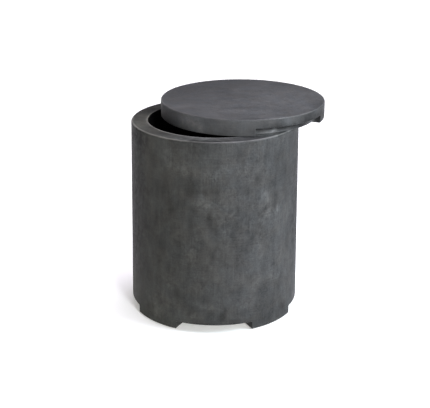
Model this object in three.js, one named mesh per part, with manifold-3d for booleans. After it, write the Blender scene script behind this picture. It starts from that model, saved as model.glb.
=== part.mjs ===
// Propane tank cover table: a cast concrete sleeve that stands over a gas bottle, and a loose
// concrete slab that closes it and is the table top. The slab lies pushed aside on the rim.
// Millimetres, +Z up, with the front towards -Y. The origin is on the floor, in the middle of
// the space that the whole table takes up.

import * as THREE from 'three';
import { mergeVertices } from 'three/addons/utils/BufferGeometryUtils.js';
import Module from 'manifold-3d';

const wasm = await Module();
wasm.setup();

const { degToRad } = THREE.MathUtils;
const quarter = Math.PI / 2;

// Sleeve, which widens a little from its rim to its feet
const rimDiameter = 432;
const footDiameter = 442;
const sleeveHeight = 505;
const wallThickness = 44;
const rimOuterRounding = 5.6;
const rimInnerRounding = 3.5;
const footOuterRounding = 4;
const footInnerRounding = 2;

// Gaps under the sleeve for the gas hose and for air, with feet left between them
const gapCount = 4;
const gapAngle = degToRad(53);
const gapHeight = 21;
const gapRounding = 3;

// Slab
const lidDiameter = 427;
const lidThickness = 43;
const lidTopRounding = 3.7;
const lidBottomRounding = 2.5;

// Hand-holds in the lower edge of the slab
const handHoldCount = 2;
const handHoldAngle = degToRad(59.5);
const handHoldHeight = 19.4;
const handHoldDepth = 22.6;
const handHoldRounding = 3;
const handHoldTurn = degToRad(37);

// How far the slab is pushed from the middle of the sleeve, and the way from +X
const lidShift = 85;
const lidShiftDirection = degToRad(32);

// Rubber pads let into the feet
const padDiameter = 30;
const padThickness = 3.5;
const padStandOff = 1.5;
const padRounding = 0.8;

// Clearance where one piece sits on or in another, and how far a cut runs past a surface
const seatGap = 0.3;
const overrun = 5;

// Facets of a full turn, of a pad, and of each rounding
const turnFacets = 96;
const padFacets = 32;
const roundingFacets = 4;

// Sizes that follow
const rimRadius = rimDiameter / 2;
const footRadius = footDiameter / 2;
const openingRadius = rimRadius - wallThickness;
const radiusOverGaps = footRadius + (rimRadius - footRadius) * gapHeight / sleeveHeight;
const rimLevel = padStandOff + sleeveHeight;
const lidRadius = lidDiameter / 2;
const lidLevel = rimLevel + seatGap;
const lidX = lidShift * Math.cos(lidShiftDirection);
const lidY = lidShift * Math.sin(lidShiftDirection);
const padRadius = padDiameter / 2;
const padCircleRadius = (footRadius + openingRadius) / 2;
const padRecessTop = padThickness + seatGap;

// A geometry as a solid, with shared corners joined and empty triangles left out
function toSolid(geometry) {
  const bare = geometry.clone();
  bare.deleteAttribute('normal');
  bare.deleteAttribute('uv');
  const joined = mergeVertices(bare);
  const corners = joined.index.array;
  const triangles = [];
  for (let i = 0; i < corners.length; i += 3) {
    const [a, b, c] = corners.slice(i, i + 3);
    if (a !== b && b !== c && c !== a) {
      triangles.push(a, b, c);
    }
  }
  return new wasm.Manifold(new wasm.Mesh({
    numProp: 3,
    vertProperties: joined.attributes.position.array,
    triVerts: new Uint32Array(triangles),
  }));
}

function toGeometry(solid) {
  const { vertProperties, triVerts } = solid.getMesh();
  const geometry = new THREE.BufferGeometry();
  geometry.setAttribute('position', new THREE.BufferAttribute(vertProperties, 3));
  geometry.setIndex(new THREE.BufferAttribute(triVerts, 1));
  geometry.computeVertexNormals();
  return geometry;
}

// A profile of radius and height, turned about the Z axis
function turned(profile, facets) {
  const points = profile.getPoints(roundingFacets / 2);
  return new THREE.LatheGeometry(points, facets).rotateX(quarter);
}

// The profile of a round plate from its axis out, with both edges rounded
function plateProfile(radius, thickness, bottomRounding, topRounding) {
  const profile = new THREE.Shape();
  profile.moveTo(0, 0);
  profile.lineTo(radius - bottomRounding, 0);
  profile.absarc(radius - bottomRounding, bottomRounding, bottomRounding, -quarter, 0);
  profile.absarc(radius - topRounding, thickness - topRounding, topRounding, 0, quarter);
  profile.lineTo(0, thickness);
  return profile;
}

// A block bent round the Z axis and centred on the front, with its edges rounded. It reaches
// below zero and up to the height, and cuts what lies between the two radii.
function bentCutter(innerRadius, outerRadius, angle, height, rounding) {
  const start = -quarter - angle / 2;
  const end = -quarter + angle / 2;
  const plan = new THREE.Shape();
  plan.absarc(0, 0, outerRadius, start, end);
  plan.absarc(0, 0, innerRadius, end, start, true);
  plan.closePath();
  const below = rounding + overrun;
  const block = new THREE.ExtrudeGeometry(plan, {
    depth: height + below - 2 * rounding,
    curveSegments: Math.ceil(turnFacets * angle / (4 * Math.PI)),
    bevelSegments: roundingFacets,
    bevelThickness: rounding,
    bevelSize: rounding,
    bevelOffset: -rounding,
  });
  return block.translate(0, 0, rounding - below);
}

// The turns from the front of a ring of equal places, counter-clockwise from above
function ringAngles(count, first) {
  return Array.from({ length: count }, (_, i) => first + 2 * Math.PI * i / count);
}

function sleeveBlank() {
  const lean = Math.atan((footRadius - rimRadius) / sleeveHeight);
  const section = new THREE.Shape();
  section.absarc(footRadius - footOuterRounding, padStandOff + footOuterRounding,
    footOuterRounding, -quarter, lean);
  section.absarc(rimRadius - rimOuterRounding, rimLevel - rimOuterRounding,
    rimOuterRounding, lean, quarter);
  section.absarc(openingRadius + rimInnerRounding, rimLevel - rimInnerRounding,
    rimInnerRounding, quarter, 2 * quarter);
  section.absarc(openingRadius + footInnerRounding, padStandOff + footInnerRounding,
    footInnerRounding, 2 * quarter, 3 * quarter);
  section.closePath();
  return toSolid(turned(section, turnFacets));
}

function sleeveGeometry() {
  let sleeve = sleeveBlank();
  for (const turn of ringAngles(gapCount, 0)) {
    const gap = bentCutter(openingRadius - overrun, footRadius + overrun, gapAngle,
      padStandOff + gapHeight, gapRounding);
    sleeve = sleeve.subtract(toSolid(gap.rotateZ(turn)));
  }
  for (const place of padPlaces) {
    const recess = new THREE.CylinderGeometry(padRadius + seatGap, padRadius + seatGap,
      padRecessTop + overrun, padFacets);
    recess.rotateX(quarter).translate(place.x, place.y, (padRecessTop - overrun) / 2);
    sleeve = sleeve.subtract(toSolid(recess));
  }
  return toGeometry(sleeve);
}

function lidGeometry() {
  const profile = plateProfile(lidRadius, lidThickness, lidBottomRounding, lidTopRounding);
  let lid = toSolid(turned(profile, turnFacets));
  for (const turn of ringAngles(handHoldCount, handHoldTurn)) {
    const handHold = bentCutter(lidRadius - handHoldDepth, lidRadius + overrun, handHoldAngle,
      handHoldHeight, handHoldRounding);
    lid = lid.subtract(toSolid(handHold.rotateZ(turn)));
  }
  return toGeometry(lid);
}

function padGeometry() {
  const profile = plateProfile(padRadius, padThickness, padRounding, padRounding);
  return toGeometry(toSolid(turned(profile, padFacets)));
}

function piece(name, geometry, color, roughness) {
  const mesh = new THREE.Mesh(geometry, new THREE.MeshStandardMaterial({
    color,
    roughness,
    metalness: 0,
  }));
  mesh.name = name;
  return mesh;
}

// One pad under the middle of each foot, from the front right foot round past the back
const padPlaces = ringAngles(gapCount, Math.PI / gapCount).map((turn, i) => ({
  name: `foot_pad_${i + 1}`,
  x: padCircleRadius * Math.sin(turn),
  y: -padCircleRadius * Math.cos(turn),
}));

const sleeve = piece('sleeve', sleeveGeometry(), 0x5b5c5d, 0.62);

const lid = piece('lid', lidGeometry(), 0x68696b, 0.55);
lid.position.set(lidX, lidY, lidLevel);

const pads = padPlaces.map(({ name, x, y }) => {
  const pad = piece(name, padGeometry(), 0x1b1b1c, 0.85);
  pad.position.set(x, y, 0);
  return pad;
});

// Half the difference between what reaches out each way centres the whole on the origin. The
// sleeve reaches furthest just over its gaps.
function middle(shift) {
  const high = Math.max(radiusOverGaps, shift + lidRadius);
  const low = Math.min(-radiusOverGaps, shift - lidRadius);
  return (high + low) / 2;
}

const table = new THREE.Group();
table.add(sleeve, lid, ...pads);
table.position.set(-middle(lidX), -middle(lidY), 0);

export default table;
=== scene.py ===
# Looks of a propane tank cover table: a dark cast concrete sleeve, a loose concrete slab that lies
# pushed aside on its rim, and rubber pads under the feet. Lengths are in metres.

from math import atan2, cos, degrees, exp, hypot, pi, radians, sin, tau
import random

import bmesh
import bpy
from mathutils import Matrix, Vector, noise


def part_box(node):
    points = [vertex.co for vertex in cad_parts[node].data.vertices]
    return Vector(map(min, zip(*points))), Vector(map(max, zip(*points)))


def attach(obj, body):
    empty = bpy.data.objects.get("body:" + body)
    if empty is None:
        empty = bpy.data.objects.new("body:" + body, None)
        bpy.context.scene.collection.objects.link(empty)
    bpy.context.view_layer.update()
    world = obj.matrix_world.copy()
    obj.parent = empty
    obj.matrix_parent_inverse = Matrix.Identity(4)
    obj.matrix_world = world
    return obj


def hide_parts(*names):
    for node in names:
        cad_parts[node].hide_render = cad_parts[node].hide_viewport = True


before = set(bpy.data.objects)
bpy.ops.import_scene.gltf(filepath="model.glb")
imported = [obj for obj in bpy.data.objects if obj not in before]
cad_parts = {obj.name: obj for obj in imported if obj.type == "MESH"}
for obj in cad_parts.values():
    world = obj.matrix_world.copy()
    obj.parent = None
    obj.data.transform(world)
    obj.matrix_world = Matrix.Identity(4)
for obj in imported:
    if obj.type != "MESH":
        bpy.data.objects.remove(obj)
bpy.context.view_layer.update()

MM = 0.001

# The frame's boxes give the sleeve's and the slab's places and outer sizes
sleeve_low, sleeve_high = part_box("sleeve")
lid_low, lid_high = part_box("lid")
FOOT_PADS = sorted(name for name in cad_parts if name.startswith("foot_pad"))

# Sleeve, which widens a little from its rim to its feet, with heights from the floor
RIM_RADIUS = 216 * MM
FOOT_RADIUS = 221 * MM
OPENING_RADIUS = RIM_RADIUS - 44 * MM
FOOT_LEVEL = sleeve_low.z
RIM_LEVEL = sleeve_high.z
GAP_COUNT = 4
GAP_ANGLE = radians(53)
GAP_LEVEL = FOOT_LEVEL + 21 * MM
RIM_OUTER_ROUNDING = 5.6 * MM
RIM_INNER_ROUNDING = 3.5 * MM
FOOT_OUTER_ROUNDING = 4 * MM
FOOT_INNER_ROUNDING = 2 * MM

# Slab, with heights from its underside
LID_RADIUS = (lid_high.x - lid_low.x) / 2
LID_THICKNESS = lid_high.z - lid_low.z
LID_TOP_ROUNDING = 3.7 * MM
LID_BOTTOM_ROUNDING = 2.5 * MM
HAND_HOLD_COUNT = 2
HAND_HOLD_ANGLE = radians(59.5)
HAND_HOLD_TURN = radians(37)
HAND_HOLD_HEIGHT = 19.4 * MM
HAND_HOLD_RADIUS = LID_RADIUS - 22.6 * MM

# Edges and inner corners of the cut-outs in both
CUT_ROUNDING = 1.6 * MM
CUT_FILLET = 3 * MM

# Sizes of the meshes' cells: round the outlines and up the sleeve, through its wall, and below its
# rim, where one row leaves room for the rounding. The slab has its own for its middle, for the ring
# that the hand-holds cut, and for its height.
CELL = 5 * MM
WALL_CELL = 7 * MM
RIM_CELL = 6 * MM
LID_MIDDLE_CELL = 15 * MM
LID_RING_CELL = 5.6 * MM
LID_HEIGHT_CELL = 6 * MM
ROUNDING_STEPS = 5

# Edges that turn by more than this many radians are sharp
SHARP_TURN = 1

# Sizes of the cast unevenness and of the wear along edges
WAVE_SIZE = 90 * MM
WEAR_SIZE = 25 * MM


def steps(start, end, size):
    """Even steps of about size, from start to just before end."""
    count = max(1, round(abs(end - start) / size))
    return [start + (end - start) * i / count for i in range(count)]


def stations(*stops, size=CELL):
    """Places from the first stop to the last, in even steps of about size between stops."""
    places = []
    for start, end in zip(stops, stops[1:]):
        places += steps(start, end, size)
    return [*places, stops[-1]]


def cut_columns(count, first, angle, size):
    """Turns from the front, counter-clockwise from above, each with whether a cut-out takes it."""
    columns = []
    for i in range(count):
        middle = first + tau * i / count
        left, right = middle - angle / 2, middle + angle / 2
        columns += [(turn, True) for turn in steps(left, right, size)]
        columns += [(turn, False) for turn in steps(right, left + tau / count, size)]
    return columns


def cell_solid(radii, columns, heights, cut_radius, cut_height):
    """The skin of a round block of cells. The cut columns lose the cells that are outside
    cut_radius and below cut_height."""
    mesh = bmesh.new()
    corners = {}

    def corner(i, j, k):
        # All columns share the corners on the axis
        j = j % len(columns) if radii[i] > 0 else 0
        if (i, j, k) not in corners:
            turn = columns[j][0]
            place = radii[i] * sin(turn), -radii[i] * cos(turn), heights[k]
            corners[i, j, k] = mesh.verts.new(place)
        return corners[i, j, k]

    def filled(i, j, k):
        # A block that starts at the axis has no inner side
        if i < 0:
            return radii[0] == 0
        if i >= len(radii) - 1 or not 0 <= k < len(heights) - 1:
            return False
        return not (columns[j % len(columns)][1] and radii[i] >= cut_radius and heights[k] < cut_height)

    def add_side(cell, axis, side):
        ring = []
        for first, second in ((0, 0), (1, 0), (1, 1), (0, 1)):
            place = list(cell)
            place[axis] += side
            place[(axis + 1) % 3] += first
            place[(axis + 2) % 3] += second
            ring.append(corner(*place))
        ring = list(dict.fromkeys(ring))
        mesh.faces.new(ring if side else ring[::-1])

    for i in range(len(radii) - 1):
        for j in range(len(columns)):
            for k in range(len(heights) - 1):
                if not filled(i, j, k):
                    continue
                for axis in range(3):
                    for side in (0, 1):
                        beyond = [i, j, k]
                        beyond[axis] += 2 * side - 1
                        if not filled(*beyond):
                            add_side((i, j, k), axis, side)
    bmesh.ops.recalc_face_normals(mesh, faces=mesh.faces)
    return mesh


def sharp_edges(mesh, convex):
    """The sharp edges that stick out or, if not convex, those of inner corners."""
    sign = 1 if convex else -1
    return [edge for edge in mesh.edges if sign * edge.calc_face_angle_signed() > SHARP_TURN]


def as_object(name, mesh, place):
    data = bpy.data.meshes.new(name)
    mesh.to_mesh(data)
    mesh.free()
    piece = bpy.data.objects.new(name, data)
    piece.location = place
    bpy.context.scene.collection.objects.link(piece)
    return piece


def apply_modifiers(piece):
    shaped = piece.evaluated_get(bpy.context.evaluated_depsgraph_get())
    old = piece.data
    piece.data = bpy.data.meshes.new_from_object(shaped)
    piece.modifiers.clear()
    bpy.data.meshes.remove(old)


def round_edges(mesh, name, place, rounding):
    """An object with every sharp edge rounded. rounding(point) is an edge's radius there."""
    bmesh.ops.bevel(mesh, geom=sharp_edges(mesh, convex=False), offset=CUT_FILLET,
                    segments=ROUNDING_STEPS, profile=0.5, affect="EDGES")
    weights = mesh.edges.layers.float.new("bevel_weight_edge")
    widest = 0
    edges = sharp_edges(mesh, convex=True)
    for edge in edges:
        edge[weights] = rounding((edge.verts[0].co + edge.verts[1].co) / 2)
        widest = max(widest, edge[weights])
    for edge in edges:
        edge[weights] /= widest
    piece = as_object(name, mesh, place)
    bevel = piece.modifiers.new("rounding", "BEVEL")
    bevel.limit_method = "WEIGHT"
    bevel.width = widest
    bevel.segments = ROUNDING_STEPS
    bevel.use_clamp_overlap = False
    apply_modifiers(piece)
    return piece


def sleeve_radius(height):
    """The sleeve's outer radius at a height."""
    return FOOT_RADIUS + (RIM_RADIUS - FOOT_RADIUS) * (height - FOOT_LEVEL) / (RIM_LEVEL - FOOT_LEVEL)


def sleeve_rounding(point):
    """How far the sleeve's edge is rounded at a point."""
    outer = hypot(point.x, point.y) > sleeve_radius(point.z) - MM
    inner = hypot(point.x, point.y) < OPENING_RADIUS + MM
    if point.z > RIM_LEVEL - MM:
        return RIM_OUTER_ROUNDING if outer else RIM_INNER_ROUNDING
    if point.z < FOOT_LEVEL + MM and outer:
        return FOOT_OUTER_ROUNDING
    if point.z < FOOT_LEVEL + MM and inner:
        return FOOT_INNER_ROUNDING
    return CUT_ROUNDING


def sleeve_piece():
    columns = cut_columns(GAP_COUNT, 0, GAP_ANGLE, CELL / FOOT_RADIUS)
    radii = stations(OPENING_RADIUS, FOOT_RADIUS, size=WALL_CELL)
    heights = [*stations(FOOT_LEVEL, GAP_LEVEL, RIM_LEVEL - RIM_CELL), RIM_LEVEL]
    mesh = cell_solid(radii, columns, heights, cut_radius=0, cut_height=GAP_LEVEL)

    # The outside leans in towards the rim, and the bore stays straight
    for vertex in mesh.verts:
        radius = hypot(vertex.co.x, vertex.co.y)
        share = (radius - OPENING_RADIUS) / (FOOT_RADIUS - OPENING_RADIUS)
        inward = share * (FOOT_RADIUS - sleeve_radius(vertex.co.z)) / radius
        vertex.co.x -= inward * vertex.co.x
        vertex.co.y -= inward * vertex.co.y
    place = ((sleeve_low.x + sleeve_high.x) / 2, (sleeve_low.y + sleeve_high.y) / 2, 0)
    return round_edges(mesh, "sleeve_casting", place, sleeve_rounding)


def lid_rounding(point):
    """How far the slab's edge is rounded at a point."""
    if point.z > LID_THICKNESS - MM:
        return LID_TOP_ROUNDING
    if point.z < MM and hypot(point.x, point.y) > LID_RADIUS - MM:
        return LID_BOTTOM_ROUNDING
    return CUT_ROUNDING


def lid_piece():
    columns = cut_columns(HAND_HOLD_COUNT, HAND_HOLD_TURN, HAND_HOLD_ANGLE, CELL / LID_RADIUS)
    radii = [*steps(0, HAND_HOLD_RADIUS, LID_MIDDLE_CELL),
             *stations(HAND_HOLD_RADIUS, LID_RADIUS, size=LID_RING_CELL)]
    heights = stations(0, HAND_HOLD_HEIGHT, LID_THICKNESS, size=LID_HEIGHT_CELL)
    mesh = cell_solid(radii, columns, heights, HAND_HOLD_RADIUS, HAND_HOLD_HEIGHT)
    place = ((lid_low.x + lid_high.x) / 2, (lid_low.y + lid_high.y) / 2, lid_low.z)
    return round_edges(mesh, "lid_casting", place, lid_rounding)


def finish_surface(piece, wave, wear):
    """Hand-cast unevenness, always inwards: slow waves all over, and rounded edges rubbed down."""
    data = piece.data
    moves = []
    for vertex in data.vertices:
        point, normal = vertex.co, vertex.normal
        slow = 0.5 + 0.5 * noise.noise(point / WAVE_SIZE)
        edge = 4 * normal.z ** 2 * (1 - normal.z ** 2)
        rubbed = 0.5 + 0.5 * noise.noise(point / WEAR_SIZE)
        moves.append(-normal * (wave * slow + wear * edge * rubbed ** 2))
    for vertex, move in zip(data.vertices, moves):
        vertex.co += move
    data.polygons.foreach_set("use_smooth", [True] * len(data.polygons))
    smooth = piece.modifiers.new("normals", "WEIGHTED_NORMAL")
    smooth.keep_sharp = False
    apply_modifiers(piece)


# Smudges and painted shade, each with its turn from the front in degrees, its height, half width and
# half height in millimetres, and how many stops lighter or, below zero, darker it is. These are on
# the front of the sleeve.
SLEEVE_SMUDGES_AND_SHADE = (
    # Painted shade, broad, down both sides
    (-70, 400, 60, 130, -1.05),
    (-70, 210, 55, 110, -1),
    (73, 380, 50, 140, -0.9),
    (74, 190, 45, 130, -0.95),
    (76, 280, 26, 120, -0.7),
    # Darker marks, from the top down
    (62, 490, 20, 14, -0.35),
    (-64, 485, 30, 24, -1.1),
    (-60, 482, 45, 24, -0.5),
    (17, 482, 9, 14, -0.45),
    (36, 468, 8, 16, -0.5),
    (44, 450, 26, 22, -0.35),
    (-40, 445, 18, 16, -0.3),
    (48, 430, 30, 60, -0.3),
    (54, 412, 9, 22, -0.45),
    (29, 403, 8, 12, -0.45),
    (30, 398, 8, 10, -0.4),
    (-43, 395, 22, 16, -0.3),
    (-16, 388, 20, 26, -0.5),
    (-33, 385, 10, 18, -0.45),
    (42, 382, 18, 11, -0.6),
    (-5, 380, 16, 8, -0.4),
    (21, 376, 24, 8, -0.25),
    (-58, 375, 10, 28, -0.35),
    (-36, 375, 22, 30, -0.3),
    (-12, 374, 12, 16, -0.45),
    (-3, 372, 26, 9, -0.3),
    (55, 362, 8, 20, -0.4),
    (-17, 358, 14, 20, -0.4),
    (44, 352, 16, 12, -0.35),
    (46, 352, 10, 18, -0.35),
    (-66, 345, 16, 14, -0.4),
    (12, 335, 6, 20, -0.5),
    (-28, 335, 14, 22, -0.35),
    (55, 322, 8, 20, -0.4),
    (-8, 316, 10, 10, -0.3),
    (-2, 310, 8, 14, -0.3),
    (-68, 310, 10, 10, -0.4),
    (-1, 298, 9, 28, -0.65),
    (-17, 285, 6, 18, -0.35),
    (36, 280, 9, 16, -0.4),
    (-71, 275, 16, 38, -0.7),
    (13, 262, 6, 32, -0.45),
    (63, 262, 22, 20, -0.4),
    (26, 250, 8, 9, -0.4),
    (23, 240, 8, 18, -0.35),
    (-38, 236, 14, 16, -0.25),
    (1, 225, 6, 22, -0.6),
    (57, 225, 20, 30, -0.4),
    (22, 225, 16, 12, -0.3),
    (-1, 206, 12, 11, -0.4),
    (-37, 205, 16, 24, -0.3),
    (70, 195, 14, 35, -0.5),
    (-73, 185, 12, 60, -0.8),
    (-6, 180, 8, 12, -0.3),
    (14, 178, 16, 12, -0.25),
    (-7, 166, 11, 11, -0.3),
    (33, 165, 8, 16, -0.3),
    (55, 165, 8, 14, -0.4),
    (41, 155, 8, 14, -0.35),
    (12, 122, 22, 8, -0.35),
    (-25, 112, 10, 10, -0.4),
    (48, 110, 9, 16, -0.5),
    (34, 105, 20, 14, -0.4),
    (-7, 100, 18, 9, -0.4),
    (-24, 98, 20, 12, -0.4),
    (47, 92, 8, 12, -0.5),
    (-12, 73, 22, 9, -0.45),
    (-3, 68, 10, 12, -0.6),
    (38, 68, 26, 24, -0.3),
    (29, 62, 12, 18, -0.5),
    (16, 60, 16, 14, -0.4),
    (-15, 60, 10, 11, -0.65),
    (7, 57, 10, 14, -0.7),
    (-3, 52, 14, 12, -0.55),
    (6, 50, 9, 16, -0.55),
    (58, 38, 26, 12, -0.4),
    (15, 38, 14, 8, -0.35),
    (52, 32, 20, 20, -0.3),
    (0, 27, 85, 8, -0.45),
    (36, 25, 26, 22, -0.7),
    (20, 22, 22, 16, -0.45),
    # Light patches, from the top down
    (-33, 472, 10, 28, 0.45),
    (-25, 435, 45, 18, 0.35),
    (8, 428, 36, 10, 0.2),
    (22, 425, 12, 28, 0.35),
    (-18, 422, 10, 12, 0.4),
    (-2, 415, 14, 12, 0.3),
    (-1, 408, 12, 10, 0.45),
    (15, 372, 16, 12, 0.35),
    (-8, 370, 16, 8, 0.45),
    (35, 360, 13, 26, 0.45),
    (4, 350, 20, 90, 0.2),
    (-8, 345, 20, 24, 0.5),
    (10, 325, 9, 16, 0.35),
    (36, 315, 20, 12, 0.4),
    (45, 310, 14, 11, 0.45),
    (24, 290, 10, 20, 0.4),
    (35, 290, 16, 24, 0.35),
    (9, 280, 12, 26, 0.4),
    (-10, 245, 10, 12, 0.35),
    (33, 240, 10, 22, 0.3),
    (-15, 225, 14, 20, 0.4),
    (-17, 200, 30, 22, 0.25),
    (-8, 160, 14, 10, 0.4),
    (42, 155, 12, 14, 0.35),
    (-8, 135, 8, 16, 0.3),
    (-30, 132, 16, 12, 0.3),
    (47, 125, 20, 16, 0.4),
    (24, 84, 14, 10, 0.3),
    (-6, 82, 30, 7, 0.3),
    (18, 72, 34, 13, 0.25),
    (-50, 60, 60, 45, 0.35),
    (-16, 52, 16, 7, 0.4),
    (-42, 22, 20, 18, 0.35),
)

# Painted light and shade on the side of the slab, lighter towards the left front and darker towards the
# right, with a band of painted shade low over the front hand-hold; heights from its underside
LID_SIDE_PAINTED_LIGHT = (
    (-75, 20, 30, 30, 0.35),
    (-38, 20, 40, 30, 0.75),
    (-31, 22, 14, 18, 0.4),
    (16, 20, 48, 34, -0.9),
    (22, 14, 22, 24, -0.8),
    (31, 29, 26, 16, 0.25),
    (48, 28, 50, 24, -2),
    (70, 20, 50, 34, -1.9),
    (38, 17, 105, 7, -1.4),
)

# Painted shade on the back walls of the hand-holds, darkest just under their ceilings, with painted
# light near the bottom of the front one
HAND_HOLD_PAINTED_LIGHT = (
    (37, 13, 120, 6, -2.8),
    (25, 14, 22, 7, -2.3),
    (19, 3, 45, 8, 1.4),
    (48, 6, 55, 14, -1.7),
    (217, 13, 120, 6, -2.8),
)

# Painted light and shade on the rim, lighter where the slab's shadow falls, with painted highlights and
# dark lines along its edges, and on the table top: the places to the right and to the back of the
# middle, half width and half depth, and the stops
RIM_PAINTED_LIGHT = (
    (-195, -30, 50, 70, 0.7),
    (-120, -150, 50, 40, 0.3),
    (-178, -85, 25, 30, 0.3),
    (-90, -177, 30, 20, 0.3),
    (-116, -132, 25, 14, -0.7),
    (0, -172, 60, 10, 1.2),
    (-30, -190, 60, 14, 0.8),
    (30, -195, 70, 20, 0.3),
    (-64, -206, 35, 6, -0.5),
    (10, -213, 70, 8, -0.7),
    (115, -142, 30, 20, 1.2),
    (144, -128, 22, 18, 1.2),
    (146, -160, 22, 12, 0.5),
    (182, -112, 20, 14, 0.5),
    (-160, 80, 50, 40, -1.2),
)
# Painted light and shade on the table top: darker to the left and back, lighter to the right front, with
# a painted highlight and dark lines along its front and right edges
TABLE_PAINTED_LIGHT = (
    (-70, 150, 130, 90, -0.5),
    (-170, 40, 90, 90, -0.35),
    (110, -60, 130, 120, 0.2),
    (-162, -85, 30, 20, 0.3),
    (87, -195, 45, 14, 0.4),
    (0, -210, 50, 8, -0.6),
    (190, -90, 20, 60, -0.7),
)

# How far two noises push the outlines of the smudges and of the painted light and shade, the noises'
# sizes, and the seeds of these noises and of the scattered smudges
SMUDGE_AND_SHADE_PUSHES = ((14 * MM, 50 * MM), (7 * MM, 16 * MM))
SMUDGE_AND_SHADE_SEED = 7
SCATTER_SEED = 5

# What faces up more than this is a top, and what lies this far in from the side is an inner wall
FACING_UP = 0.6
INNER_DEPTH = 12 * MM


def scattered_smudges(count):
    """Smudges of the same kinds, for the sleeve's sides and back."""
    draw = random.Random(SCATTER_SEED)
    turns, heights = (72, 288), (30, 480)
    half_widths, half_heights = (8, 30), (10, 36)
    strengths = -0.6, -0.5, -0.4, -0.3, 0.3, 0.5
    return [(draw.uniform(*turns), draw.uniform(*heights), draw.uniform(*half_widths),
             draw.uniform(*half_heights), draw.choice(strengths))
            for _ in range(count)]


def paint_smudges_and_shade(piece, radius, side_smudges_and_shade, top_painted_light, inner_painted_light=()):
    """Keeps how many stops lighter or darker the smudges and the painted light and shade make each point
    of a piece.
    """
    noise.seed_set(SMUDGE_AND_SHADE_SEED)
    data = piece.data
    stops = []
    for vertex in data.vertices:
        point = vertex.co.copy()
        for push, size in SMUDGE_AND_SHADE_PUSHES:
            point += push * noise.noise_vector(vertex.co / size)
        turn = degrees(atan2(point.x, -point.y))
        on_top = vertex.normal.z > FACING_UP
        # Tops take painted light and shade, inner walls painted shade, sides smudges and painted shade
        if on_top:
            smudges = top_painted_light
        elif hypot(vertex.co.x, vertex.co.y) < radius - INNER_DEPTH:
            smudges = inner_painted_light
        else:
            smudges = side_smudges_and_shade
        total = 0
        for first, second, half_width, half_height, strength in smudges:
            if on_top:
                across, along = point.x / MM - first, point.y / MM - second
            else:
                across = radians((turn - first + 180) % 360 - 180) * radius / MM
                along = point.z / MM - second
            total += strength * exp(-(across / half_width) ** 2 - (along / half_height) ** 2)
        stops.append(total)
    data.attributes.new("smudge_and_shade", "FLOAT", "POINT").data.foreach_set("value", stops)


# Sockets of a Mix node that is set to colours
COLOUR_A, COLOUR_B, COLOUR_RESULT = 6, 7, 2


class Look:
    """A material under construction, with short ways to add its nodes."""

    def __init__(self, name):
        self.material = bpy.data.materials.new(name)
        self.material.use_nodes = True
        self.tree = self.material.node_tree
        self.tree.nodes.clear()
        output = self.tree.nodes.new("ShaderNodeOutputMaterial")
        self.shader = self.tree.nodes.new("ShaderNodeBsdfPrincipled")
        self.tree.links.new(self.shader.outputs[0], output.inputs[0])
        self.place = self.add("TexCoord").outputs["Object"]

    def add(self, kind, inputs=(), **settings):
        """A node with its settings, and its inputs linked or set by name or number."""
        node = self.tree.nodes.new("ShaderNode" + kind)
        for name, value in settings.items():
            setattr(node, name, value)
        for key, value in dict(inputs).items():
            self.put(node.inputs[key], value)
        return node

    def put(self, socket, value):
        if isinstance(value, bpy.types.NodeSocket):
            self.tree.links.new(value, socket)
        else:
            socket.default_value = value

    def finish(self, **inputs):
        """Links or sets the shader's inputs, named with underscores for spaces."""
        for name, value in inputs.items():
            self.put(self.shader.inputs[name.replace("_", " ")], value)
        return self.material

    def along(self, axis):
        """The place along X, Y or Z."""
        return self.add("SeparateXYZ", {"Vector": self.place}).outputs[axis]

    def math(self, operation, *values):
        return self.add("Math", dict(enumerate(values)), operation=operation).outputs[0]

    def noise(self, size, detail=3, roughness=0.5, distortion=0, offset=0):
        """Cloudy values around one half, with patches of about size, which is one number or three."""
        sizes = size if isinstance(size, tuple) else (size, size, size)
        place = self.add("Mapping", {
            "Vector": self.place,
            "Location": (offset, offset, offset),
            "Scale": tuple(1 / s for s in sizes),
        }).outputs[0]
        return self.add("TexNoise", {
            "Vector": place,
            "Scale": 1,
            "Detail": detail,
            "Roughness": roughness,
            "Distortion": distortion,
        }).outputs["Fac"]

    def between(self, value, low, high, from_low=0, from_high=1):
        """The value taken from one range to another and kept inside it."""
        return self.add("MapRange", {
            "Value": value,
            "From Min": low,
            "From Max": high,
            "To Min": from_low,
            "To Max": from_high,
        }).outputs[0]

    def mix(self, factor, first, second, blend="MIX"):
        inputs = {0: factor, COLOUR_A: first, COLOUR_B: second}
        return self.add("Mix", inputs, data_type="RGBA", blend_type=blend).outputs[COLOUR_RESULT]

    def pits(self, spacing, radius, share):
        """Depth from 0 to 1 of round pinholes, in a share of cells that are spacing apart."""
        cells = self.add("TexVoronoi", {"Vector": self.place, "Scale": 1 / spacing})
        pick = self.add("SeparateColor", {"Color": cells.outputs["Color"]}).outputs[0]
        reach = self.between(pick, 1 - share, 1, 0, radius / spacing)
        inside = self.math("SUBTRACT", reach, cells.outputs["Distance"])
        return self.between(inside, 0, 0.35 * radius / spacing)

    def worn_edge_and_highlight(self):
        """1 on the upper part of a rounded edge, falling to 0 on level and upright faces."""
        normal = self.add("NewGeometry").outputs["Normal"]
        rise = self.add("SeparateXYZ", {"Vector": normal}).outputs["Z"]
        squared = self.math("MULTIPLY", rise, rise)
        rest = self.math("SUBTRACT", 1, squared)
        high = self.math("POWER", squared, 3)
        to_one = 9.5
        return self.math("MULTIPLY", self.math("MULTIPLY", high, rest), to_one)

    def weighted(self, middle, *terms):
        """A middle value, moved by each noise's swing either side of one half times its weight."""
        total = middle
        for value, weight in terms:
            swing = self.math("MULTIPLY_ADD", value, weight, -weight / 2)
            total = self.math("ADD", swing, total)
        return total

    def bump(self, height):
        """Relief of the given height in millimetres."""
        node = self.add("Bump", {"Height": height, "Distance": MM, "Strength": 1})
        self.put(self.shader.inputs["Normal"], node.outputs[0])


def grey(level, warmth=0):
    """A grey of about this level, warmer or, below zero, cooler."""
    return level * (1 + warmth), level, level * (1 - warmth), 1


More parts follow.
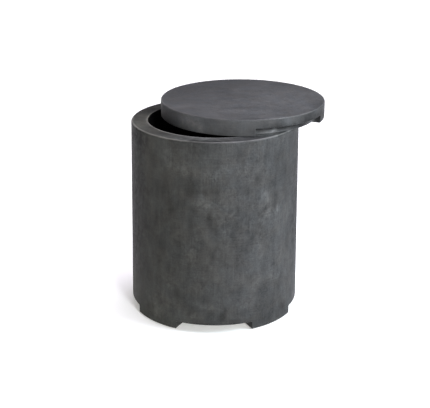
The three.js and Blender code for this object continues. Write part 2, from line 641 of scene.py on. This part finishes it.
def concrete(look, level, contrast, seed, streaks, edge_lightness, ragged):
    """Trowelled cast concrete around a grey level, with rounded edges lightened, partly by wear and
    partly as a painted highlight, to so many times that level, and with more or less ragged smudges and
    painted light and shade. Returns its colour, relief and shine inputs."""
    clouds = look.noise(130 * MM, detail=3, distortion=0.6, offset=seed)
    marks = look.noise(streaks, detail=4, roughness=0.6, offset=seed + 5)
    patches = look.noise(38 * MM, detail=4, roughness=0.6, distortion=0.8, offset=seed + 9)
    mottle = look.noise(13 * MM, detail=3, roughness=0.6, distortion=0.5, offset=seed + 1)
    speckle = look.noise(4.5 * MM, detail=2, roughness=0.6, offset=seed + 3)
    grain = look.noise(1.3 * MM, detail=2, roughness=0.6)
    hue = look.noise(40 * MM, detail=3, roughness=0.6, distortion=0.5, offset=seed + 7)
    level_strokes = look.noise((60 * MM, 60 * MM, 1.8 * MM), detail=2, offset=seed + 11)
    upright_strokes = look.noise((3 * MM, 3 * MM, 70 * MM), detail=2, offset=seed + 13)
    sweep = look.between(look.noise(70 * MM, detail=2, offset=seed + 15), 0.4, 0.6)
    turned = look.math("SUBTRACT", upright_strokes, level_strokes)
    strokes = look.math("MULTIPLY_ADD", sweep, turned, level_strokes)
    pits = look.pits(17 * MM, 1.4 * MM, 0.3)
    pinholes = look.pits(6 * MM, 0.6 * MM, 0.3)

    # The fine marks are stronger towards the right
    fine = look.weighted(0, (mottle, 0.45), (speckle, 0.35), (grain, 0.4), (strokes, 0.35))
    fine = look.math("MULTIPLY", fine, look.between(look.along("X"), -RIM_RADIUS, RIM_RADIUS, 0.5, 1.6))
    tone = look.math("ADD", fine, look.weighted(0.5, (clouds, 0.5), (marks, 0.6), (patches, 0.5)))
    dark, light = level * (1 - contrast), level * (1 + contrast)
    cool = look.mix(tone, grey(dark, -0.02), grey(light, -0.02))
    warm = look.mix(tone, grey(dark, 0.02), grey(light, 0.02))
    colour = look.mix(look.between(hue, 0.4, 0.6), cool, warm)

    rubbed = look.noise(50 * MM, detail=4, offset=seed + 2)
    wear = look.math("MULTIPLY", look.worn_edge_and_highlight(), look.between(rubbed, 0.3, 0.7, 0.3, 1))
    # Rounded edges lightened: partly wear, partly a painted highlight along their upper side
    colour = look.mix(wear, colour, grey(edge_lightness * level, 0.02))
    holes = look.math("MAXIMUM", pits, pinholes)
    colour = look.mix(look.math("MULTIPLY", holes, 0.6), colour, grey(0.4 * dark))
    # Smudges and painted light and shade, in stops, from the smudge attribute
    smudge_and_shade = look.add("Attribute", attribute_name="smudge_and_shade").outputs["Fac"]
    broken = look.math("MULTIPLY", smudge_and_shade, look.between(mottle, 0.35, 0.65, 1 - ragged, 1 + ragged))
    colour = look.mix(1, colour, look.math("POWER", 2, broken), blend="MULTIPLY")

    roughness = look.weighted(0.58, (mottle, 0.25), (patches, 0.2), (grain, 0.1))
    shine = {
        "Roughness": look.math("MULTIPLY_ADD", wear, -0.2, roughness),
        "Specular_IOR_Level": look.math("MULTIPLY_ADD", wear, 0.2, 0.1),
    }
    relief = look.math("MULTIPLY", patches, 0.4)
    for height, depth in ((mottle, 0.2), (speckle, 0.07), (grain, 0.05), (pits, -0.7), (pinholes, -0.3)):
        relief = look.math("MULTIPLY_ADD", height, depth, relief)
    return colour, relief, shine


def sleeve_concrete():
    """Concrete with upright streaks, smudges and painted light and shade outside and, on the inner wall,
    painted black shade.
    """
    look = Look("sleeve_concrete")
    streaks = (20 * MM, 20 * MM, 55 * MM)
    colour, relief, shine = concrete(look, level=0.0375, contrast=0.75, seed=3, streaks=streaks,
                                     edge_lightness=3, ragged=0.45)
    across = look.add("VectorMath", {0: look.place, 1: (1, 1, 0)}, operation="MULTIPLY").outputs[0]
    radius = look.add("VectorMath", {0: across}, operation="LENGTH").outputs["Value"]
    frayed = look.math("MULTIPLY_ADD", look.noise(7 * MM, detail=4), 1.5 * MM, radius)

    # A painted highlight runs round the opening on the rim, in patches, and less towards the back
    lip_highlight = look.between(frayed, OPENING_RADIUS + 4 * MM, OPENING_RADIUS + 9 * MM, 1, 0)
    for share in (look.between(look.along("Z"), RIM_LEVEL - 3 * MM, RIM_LEVEL - MM),
                  look.between(look.along("Y"), -60 * MM, 20 * MM, 1, 0.1),
                  look.between(look.noise(70 * MM, detail=3), 0.35, 0.65, 0.4, 1)):
        lip_highlight = look.math("MULTIPLY", lip_highlight, share)
    colour = look.mix(lip_highlight, colour, grey(0.22))

    # The concrete turns browner towards the left
    browner = look.between(look.along("X"), -RIM_RADIUS, 0.3 * RIM_RADIUS, 1, 0.1)
    colour = look.mix(browner, colour, (1, 1, 0.84, 1), blend="MULTIPLY")

    # Painted shade: the inner wall is near black
    inner_shade = look.between(frayed, OPENING_RADIUS + 1.2 * MM, OPENING_RADIUS + 2.2 * MM, 1, 0)
    black = look.mix(look.noise(20 * MM, detail=5), grey(0.0015), grey(0.004))
    look.bump(relief)
    return look.finish(Base_Color=look.mix(inner_shade, colour, black), **shine)


def lid_concrete():
    """Concrete trowelled flat, in wide soft strokes."""
    look = Look("lid_concrete")
    strokes = (120 * MM, 45 * MM, 30 * MM)
    colour, relief, shine = concrete(look, level=0.066, contrast=0.45, seed=21, streaks=strokes,
                                     edge_lightness=1.1, ragged=0.2)
    look.bump(relief)
    return look.finish(Base_Color=colour, **shine)


def rubber():
    """Black rubber with dust on it."""
    look = Look("pad_rubber")
    speckle = look.noise(1.2 * MM, detail=3)
    dust = look.between(look.noise(9 * MM, detail=3), 0.5, 0.75, 0, 0.35)
    colour = look.mix(speckle, (0.008, 0.008, 0.009, 1), (0.018, 0.018, 0.019, 1))
    look.bump(look.math("MULTIPLY", speckle, 0.1))
    return look.finish(Base_Color=look.mix(dust, colour, (0.06, 0.058, 0.055, 1)),
                       Roughness=look.between(speckle, 0, 1, 0.7, 0.95))


def floor_finish():
    """A pale studio floor that glows a little, so that it stays white."""
    look = Look("pale_floor")
    colour = look.mix(look.noise(800 * MM, detail=2), (0.84, 0.84, 0.83, 1), (0.87, 0.87, 0.86, 1))
    return look.finish(Base_Color=colour, Roughness=0.9, Specular_IOR_Level=0.1,
                       Emission_Color=(1, 0.985, 0.93, 1), Emission_Strength=0.31)


def dress(piece, material, body, slot, *nodes):
    """Gives a piece its material, and puts it on its body in place of the nodes."""
    piece.data.materials.clear()
    piece.data.materials.append(material)
    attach(piece, body)
    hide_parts(*nodes)


sleeve = sleeve_piece()
finish_surface(sleeve, wave=0.25 * MM, wear=0.3 * MM)
paint_smudges_and_shade(sleeve, RIM_RADIUS, [*SLEEVE_SMUDGES_AND_SHADE, *scattered_smudges(90)], RIM_PAINTED_LIGHT)
dress(sleeve, sleeve_concrete(), "base", "sleeve_concrete", "sleeve")

lid = lid_piece()
finish_surface(lid, wave=0.2 * MM, wear=0.3 * MM)
paint_smudges_and_shade(lid, LID_RADIUS, LID_SIDE_PAINTED_LIGHT, TABLE_PAINTED_LIGHT, HAND_HOLD_PAINTED_LIGHT)
dress(lid, lid_concrete(), "lid", "lid_concrete", "lid")

pad_rubber = rubber()
for name in FOOT_PADS:
    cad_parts[name].data.materials.clear()
    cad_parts[name].data.materials.append(pad_rubber)

# Floor, this far out each way
FLOOR_REACH = 30

floor_mesh = bmesh.new()
bmesh.ops.create_grid(floor_mesh, x_segments=1, y_segments=1, size=FLOOR_REACH)
floor = as_object("floor", floor_mesh, (0, 0, 0))
floor.data.materials.append(floor_finish())

# Camera, fitted to the photo
CAMERA_RISE = radians(19.86)
CAMERA_DISTANCE = 2.94
CAMERA_ROLL = 0.0054
CAMERA_LENS = 92.76
AIM_HEIGHT = 0.2718
AIM_RIGHT = 0.0012

centre = sleeve.matrix_world.translation
aim = Vector((centre.x + AIM_RIGHT, centre.y, AIM_HEIGHT))
camera = bpy.data.objects.new("camera", bpy.data.cameras.new("camera"))
camera.data.lens = CAMERA_LENS
camera.location = aim + CAMERA_DISTANCE * Vector((0, -cos(CAMERA_RISE), sin(CAMERA_RISE)))
rotation = Matrix.Rotation(pi / 2 - CAMERA_RISE, 4, "X") @ Matrix.Rotation(CAMERA_ROLL, 4, "Z")
camera.rotation_euler = rotation.to_euler()
bpy.context.scene.collection.objects.link(camera)
bpy.context.scene.camera = camera


def toward(turn, rise):
    """The way from the table to a light: turn from the front to the right, rise above the floor."""
    return Vector((sin(turn) * cos(rise), -cos(turn) * cos(rise), sin(rise)))


def add_light(name, kind, turn, rise, energy, colour, distance=3, **settings):
    """Adds a light that faces the table, with its turn and rise in degrees."""
    way = toward(radians(turn), radians(rise))
    data = bpy.data.lights.new(name, kind)
    data.energy = energy
    data.color = colour
    for key, value in settings.items():
        setattr(data, key, value)
    light = bpy.data.objects.new(name, data)
    light.location = aim + distance * way
    light.rotation_euler = way.to_track_quat("Z", "Y").to_euler()
    light.visible_camera = False
    bpy.context.scene.collection.objects.link(light)


add_light("key", "AREA", 70, 25, 28.9, (0.89, 1, 1.1), distance=1.6, shape="SQUARE", size=0.8)
add_light("front", "SUN", 25, 21, 2.72, (0.97, 1, 1.02), angle=radians(15))
add_light("overhead", "SUN", 120, 80, 2.2, (1.04, 0.98, 1.14), angle=radians(25))
add_light("back", "SUN", 210, 30, 0.7, (1.02, 0.99, 1.07), angle=radians(40))

# The world is white to the camera and lights the table this weakly
WORLD_LIGHT = 0.12

world = bpy.data.worlds.new("studio")
world.use_nodes = True
background = world.node_tree.nodes["Background"]
background.inputs["Color"].default_value = (1, 1, 1, 1)
shown = world.node_tree.nodes.new("ShaderNodeLightPath").outputs["Is Camera Ray"]
strength = world.node_tree.nodes.new("ShaderNodeMath")
strength.operation = "MAXIMUM"
strength.inputs[0].default_value = WORLD_LIGHT
world.node_tree.links.new(shown, strength.inputs[1])
world.node_tree.links.new(strength.outputs[0], background.inputs["Strength"])
bpy.context.scene.world = world
bpy.context.scene.view_settings.view_transform = "Standard"
